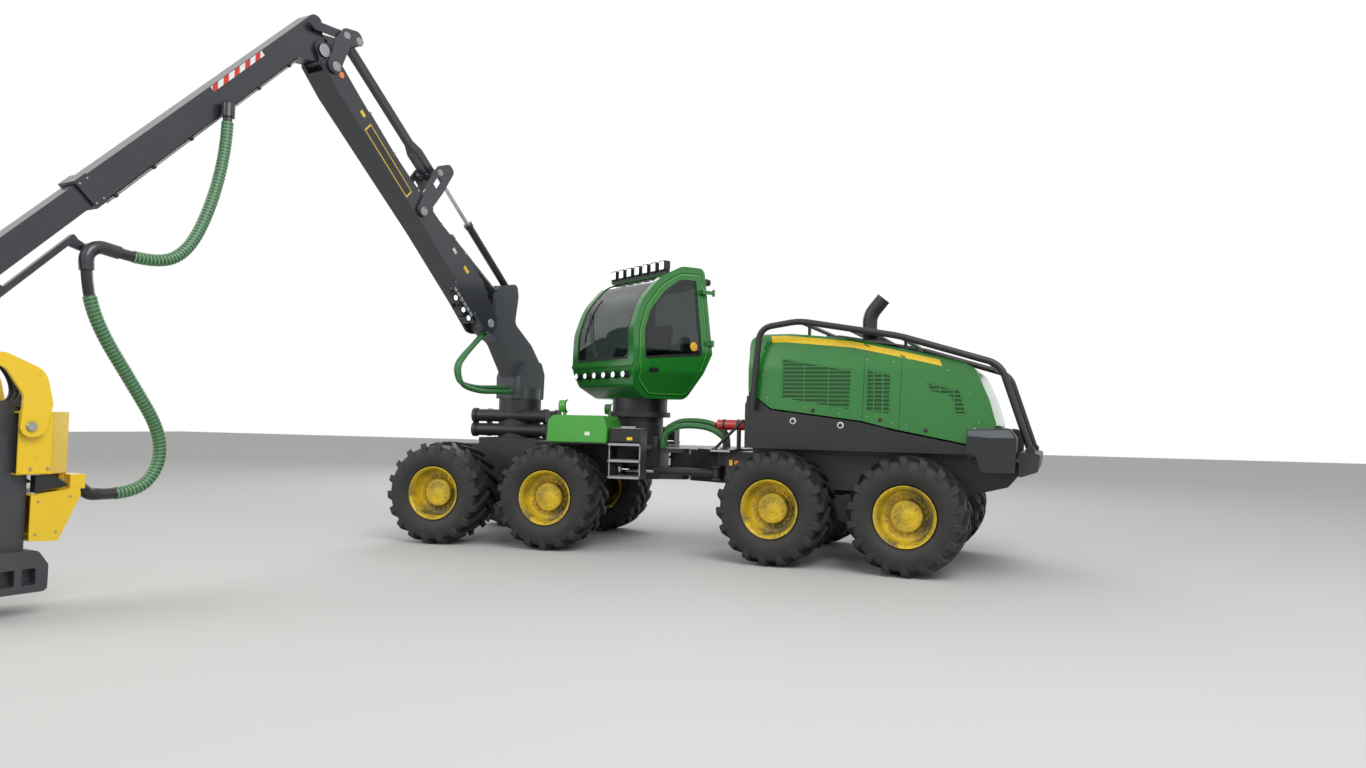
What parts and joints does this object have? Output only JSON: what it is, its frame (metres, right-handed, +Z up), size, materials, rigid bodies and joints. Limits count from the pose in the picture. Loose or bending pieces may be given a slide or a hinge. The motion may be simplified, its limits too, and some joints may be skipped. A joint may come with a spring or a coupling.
{
  "type": "eight-wheel forestry harvester",
  "caption": "Articulated forestry harvester with bogie wheels, turning cab, parallel crane with sliding jib and a hanging felling head.",
  "frame": {"origin": "middle of the bounding box, on the ground under the tyres, hoses left out", "axes": "+X forward, +Y to the machine's left, +Z up"},
  "size_m": [9.4758, 8.6914, 5.98],
  "materials": {
    "tyre": "black rubber, dusty",
    "yellow_paint": "glossy yellow paint",
    "green_paint": "green paint",
    "dark_paint": "dark blue-grey paint",
    "grey_paint": "mid grey paint",
    "light_paint": "light grey paint",
    "black_plastic": "matte black",
    "chrome": "polished piston rod",
    "steel": "worn steel",
    "glass": "tinted glass",
    "red_paint": "red paint",
    "hose_guard": "green spiral hose guard",
    "fabric": "dark seat cloth"
  },
  "bodies": {
    "front_carrier": {"front_frame": "grey_paint", "front_axle": "grey_paint", "front_covers": "green_paint", "access_steps": "light_paint", "crane_base": "grey_paint", "cab_base": "grey_paint"},
    "rear_carrier": {"rear_frame": "grey_paint", "rear_axle": "grey_paint", "engine_block": "grey_paint", "rear_skirts": "black_plastic", "fire_bottle": "red_paint", "joint_hoses": "hose_guard"},
    "hood": {"hood_panels": "green_paint", "hood_grilles": "green_paint", "hood_guard": "black_plastic"},
    "cab": {"cab_shell": "green_paint", "cab_glass": "glass", "cab_interior": "fabric", "cab_lamps": "black_plastic"},
    "door": {"cab_door": "green_paint", "cab_door_glass": "glass"},
    "pillar": {"crane_pillar": "grey_paint", "crane_hoses": "hose_guard"},
    "boom": {"main_boom": "dark_paint"},
    "lift_cylinder": {"lift_barrel": "dark_paint"},
    "lift_piston": {"lift_rod": "chrome"},
    "jib_cylinder": {"jib_barrel": "dark_paint"},
    "jib_piston": {"jib_rod": "chrome"},
    "rocker": {"rocker": "grey_paint"},
    "knee_bar": {"knee_bar": "dark_paint"},
    "knee_lever": {"knee_lever": "grey_paint"},
    "knee_link": {"knee_link": "dark_paint"},
    "jib": {"jib": "dark_paint", "hose_upper": "hose_guard"},
    "extension": {"jib_extension": "dark_paint"},
    "tip": {"tip_link": "dark_paint"},
    "hanger": {"head_hanger": "yellow_paint"},
    "head": {"head_frame": "dark_paint", "head_covers": "yellow_paint", "head_hose_fitting": "black_plastic", "hose_lower": "hose_guard"},
    "saw": {"saw_bar": "steel"},
    "wheel_front_left_fore": {"wheel_front_left_fore": "tyre"},
    "wheel_front_left_aft": {"wheel_front_left_aft": "tyre"},
    "wheel_front_right_fore": {"wheel_front_right_fore": "tyre"},
    "wheel_front_right_aft": {"wheel_front_right_aft": "tyre"},
    "wheel_rear_left_fore": {"wheel_rear_left_fore": "tyre"},
    "wheel_rear_left_aft": {"wheel_rear_left_aft": "tyre"},
    "wheel_rear_right_fore": {"wheel_rear_right_fore": "tyre"},
    "wheel_rear_right_aft": {"wheel_rear_right_aft": "tyre"},
    "steer_barrel_left": {"steer_barrel_left": "dark_paint"},
    "steer_rod_left": {"steer_rod_left": "chrome"},
    "feed_arm_left": {"feed_arm_left": "dark_paint"},
    "feed_roller_left": {"feed_roller_left": "steel"},
    "knife_left": {"knife_left": "steel"},
    "steer_barrel_right": {"steer_barrel_right": "dark_paint"},
    "steer_rod_right": {"steer_rod_right": "chrome"},
    "feed_arm_right": {"feed_arm_right": "dark_paint"},
    "feed_roller_right": {"feed_roller_right": "steel"},
    "knife_right": {"knife_right": "steel"}
  },
  "joints": [
    {"name": "wheel_front_left_fore_spin", "type": "hinge", "parent": "front_carrier", "child": "wheel_front_left_fore", "pos_m": [2.99303, -1.79571, 0.66629], "axis": [0, 1, 0], "continuous": true},
    {"name": "wheel_front_left_aft_spin", "type": "hinge", "parent": "front_carrier", "child": "wheel_front_left_aft", "pos_m": [1.44303, -1.79571, 0.66629], "axis": [0, 1, 0], "continuous": true},
    {"name": "wheel_front_right_fore_spin", "type": "hinge", "parent": "front_carrier", "child": "wheel_front_right_fore", "pos_m": [2.99303, -3.99571, 0.66629], "axis": [0, 1, 0], "continuous": true},
    {"name": "wheel_front_right_aft_spin", "type": "hinge", "parent": "front_carrier", "child": "wheel_front_right_aft", "pos_m": [1.44303, -3.99571, 0.66629], "axis": [0, 1, 0], "continuous": true},
    {"name": "wheel_rear_left_fore_spin", "type": "hinge", "parent": "rear_carrier", "child": "wheel_rear_left_fore", "pos_m": [-1.4919, -1.52774, 0.66629], "axis": [0.165, 0.9863, 0], "continuous": true},
    {"name": "wheel_rear_left_aft_spin", "type": "hinge", "parent": "rear_carrier", "child": "wheel_rear_left_aft", "pos_m": [-3.02064, -1.27192, 0.66629], "axis": [0.165, 0.9863, 0], "continuous": true},
    {"name": "wheel_rear_right_fore_spin", "type": "hinge", "parent": "rear_carrier", "child": "wheel_rear_right_fore", "pos_m": [-1.85501, -3.69757, 0.66629], "axis": [0.165, 0.9863, 0], "continuous": true},
    {"name": "wheel_rear_right_aft_spin", "type": "hinge", "parent": "rear_carrier", "child": "wheel_rear_right_aft", "pos_m": [-3.38375, -3.44175, 0.66629], "axis": [0.165, 0.9863, 0], "continuous": true},
    {"name": "frame_steer", "type": "hinge", "parent": "front_carrier", "child": "rear_carrier", "pos_m": [0.01803, -2.89571, 1.08979], "axis": [0, 0, 1], "range_deg": [-32.5, 51.5], "deforming": ["joint_hoses"]},
    {"name": "steer_left_swing", "type": "hinge", "parent": "rear_carrier", "child": "steer_barrel_left", "pos_m": [-0.61861, -2.27715, 1.00979], "axis": [0, 0, 1], "range_deg": [-26.16, 16.73]},
    {"name": "steer_left_stroke", "type": "slide", "parent": "steer_barrel_left", "child": "steer_rod_left", "axis": [0.9965, -0.0834, 0], "range_m": [-0.2799, 0.4419]},
    {"name": "steer_right_swing", "type": "hinge", "parent": "rear_carrier", "child": "steer_barrel_right", "pos_m": [-0.78531, -3.2733, 1.00979], "axis": [0, 0, 1], "range_deg": [-26.16, 16.73]},
    {"name": "steer_right_stroke", "type": "slide", "parent": "steer_barrel_right", "child": "steer_rod_right", "axis": [0.9965, -0.0833, 0], "range_m": [-0.4613, 0.2922]},
    {"name": "hood_tilt", "type": "hinge", "parent": "rear_carrier", "child": "hood", "pos_m": [-4.45971, -2.1464, 1.42479], "axis": [-0.165, -0.9863, 0], "range_deg": [0, 55]},
    {"name": "cab_turn", "type": "hinge", "parent": "front_carrier", "child": "cab", "pos_m": [0.61803, -2.89571, 1.78979], "axis": [0, 0, 1], "range_deg": [-130, 30]},
    {"name": "door_swing", "type": "hinge", "parent": "cab", "child": "door", "pos_m": [-0.40619, -2.87175, 2.79979], "axis": [0, 0, 1], "range_deg": [0, 75]},
    {"name": "crane_slew", "type": "hinge", "parent": "front_carrier", "child": "pillar", "pos_m": [2.41803, -2.89571, 1.93979], "axis": [0, 0, 1], "range_deg": [-185, 35]},
    {"name": "boom_lift", "type": "hinge", "parent": "pillar", "child": "boom", "pos_m": [2.64837, -2.03604, 2.93979], "axis": [0.9659, -0.2588, 0], "range_deg": [-40, 22]},
    {"name": "lift_swing", "type": "hinge", "parent": "pillar", "child": "lift_cylinder", "pos_m": [2.59143, -2.24854, 3.38979], "axis": [0.9659, -0.2588, 0], "range_deg": [-40.07, 22.26]},
    {"name": "lift_stroke", "type": "slide", "parent": "lift_cylinder", "child": "lift_piston", "axis": [0.2158, 0.8052, 0.5524], "range_m": [-0.191, 0.3448]},
    {"name": "jib_cylinder_swing", "type": "hinge", "parent": "pillar", "child": "jib_cylinder", "pos_m": [2.5112, -2.54798, 3.48479], "axis": [0.9659, -0.2588, 0], "range_deg": [-37.54, 20.87]},
    {"name": "jib_cylinder_stroke", "type": "slide", "parent": "jib_cylinder", "child": "jib_piston", "axis": [0.1948, 0.7272, 0.6582], "range_m": [-0.2824, 0.511]},
    {"name": "jib_swing", "type": "hinge", "parent": "boom", "child": "jib", "pos_m": [3.39123, 0.73633, 5.60972], "axis": [-0.9659, 0.2588, 0], "range_deg": [-55, 40]},
    {"name": "lever_turn", "type": "hinge", "parent": "boom", "child": "knee_lever", "pos_m": [3.3575, 0.61046, 5.46937], "axis": [-0.9659, 0.2588, 0], "range_deg": [-33.5, 24.5]},
    {"name": "rocker_turn", "type": "hinge", "parent": "boom", "child": "rocker", "pos_m": [2.99869, -0.72864, 4.17156], "axis": [-0.9659, 0.2588, 0], "range_deg": [-25.53, 18.7]},
    {"name": "link_turn", "type": "hinge", "parent": "jib", "child": "knee_link", "pos_m": [3.42488, 0.86192, 5.83993], "axis": [-0.9659, 0.2588, 0], "range_deg": [-18.5, 25.25]},
    {"name": "bar_turn", "type": "hinge", "parent": "rocker", "child": "knee_bar", "pos_m": [2.93056, -0.98291, 4.71883], "axis": [-0.9659, 0.2588, 0], "range_deg": [-19.9, 27.18]},
    {"name": "extension_slide", "type": "slide", "parent": "jib", "child": "extension", "axis": [0.1782, 0.6649, -0.7254], "range_m": [0, 1.6]},
    {"name": "tip_swing", "type": "hinge", "parent": "extension", "child": "tip", "pos_m": [4.20377, 3.76879, 2.61959], "axis": [0.9659, -0.2588, 0], "range_deg": [-35, 80]},
    {"name": "rotator_turn", "type": "hinge", "parent": "tip", "child": "hanger", "pos_m": [4.20377, 3.76879, 2.09459], "axis": [0, 0, 1], "continuous": true},
    {"name": "head_tilt", "type": "hinge", "parent": "hanger", "child": "head", "pos_m": [4.1106, 3.42106, 1.49979], "axis": [-0.9659, 0.2588, 0], "range_deg": [0, 90], "deforming": ["hose_lower"]},
    {"name": "feed_arm_left_swing", "type": "hinge", "parent": "head", "child": "feed_arm_left", "pos_m": [3.88502, 3.8542, 0.96979], "axis": [0, 0, 1], "range_deg": [-12, 35]},
    {"name": "feed_roller_left_spin", "type": "hinge", "parent": "feed_arm_left", "child": "feed_roller_left", "pos_m": [4.02838, 4.15743, 0.96979], "axis": [0, 0, 1], "continuous": true},
    {"name": "knife_left_swing", "type": "hinge", "parent": "head", "child": "knife_left", "pos_m": [3.88502, 3.8542, 1.49479], "axis": [0, 0, 1], "range_deg": [-15, 40]},
    {"name": "feed_arm_right_swing", "type": "hinge", "parent": "head", "child": "feed_arm_right", "pos_m": [4.52253, 3.68338, 0.96979], "axis": [0, 0, -1], "range_deg": [-12, 35]},
    {"name": "feed_roller_right_spin", "type": "hinge", "parent": "feed_arm_right", "child": "feed_roller_right", "pos_m": [4.54998, 4.01767, 0.96979], "axis": [0, 0, -1], "continuous": true},
    {"name": "knife_right_swing", "type": "hinge", "parent": "head", "child": "knife_right", "pos_m": [4.52253, 3.68338, 1.49479], "axis": [0, 0, -1], "range_deg": [-15, 40]},
    {"name": "saw_swing", "type": "hinge", "parent": "head", "child": "saw", "pos_m": [4.47044, 3.75945, 0.27479], "axis": [0, 0, -1], "range_deg": [0, 95]}
  ],
  "couplings": [
    {"joint": "steer_left_swing", "follows": "frame_steer", "ratio": -0.4964},
    {"joint": "steer_left_stroke", "follows": "frame_steer", "m_per_rad": 0.4882},
    {"joint": "steer_right_swing", "follows": "frame_steer", "ratio": -0.4963},
    {"joint": "steer_right_stroke", "follows": "frame_steer", "m_per_rad": -0.5098},
    {"joint": "lift_swing", "follows": "boom_lift", "ratio": 0.9892},
    {"joint": "lift_stroke", "follows": "boom_lift", "m_per_rad": -0.4895},
    {"joint": "jib_cylinder_swing", "follows": "boom_lift", "ratio": 0.926},
    {"joint": "jib_cylinder_stroke", "follows": "boom_lift", "m_per_rad": -0.7276},
    {"joint": "lever_turn", "follows": "jib_swing", "ratio": 0.6},
    {"joint": "rocker_turn", "follows": "jib_swing", "ratio": 0.455},
    {"joint": "link_turn", "follows": "jib_swing", "ratio": -0.45},
    {"joint": "bar_turn", "follows": "jib_swing", "ratio": -0.485},
    {"joint": "feed_arm_right_swing", "follows": "feed_arm_left_swing", "ratio": 1},
    {"joint": "knife_right_swing", "follows": "knife_left_swing", "ratio": 1}
  ]
}
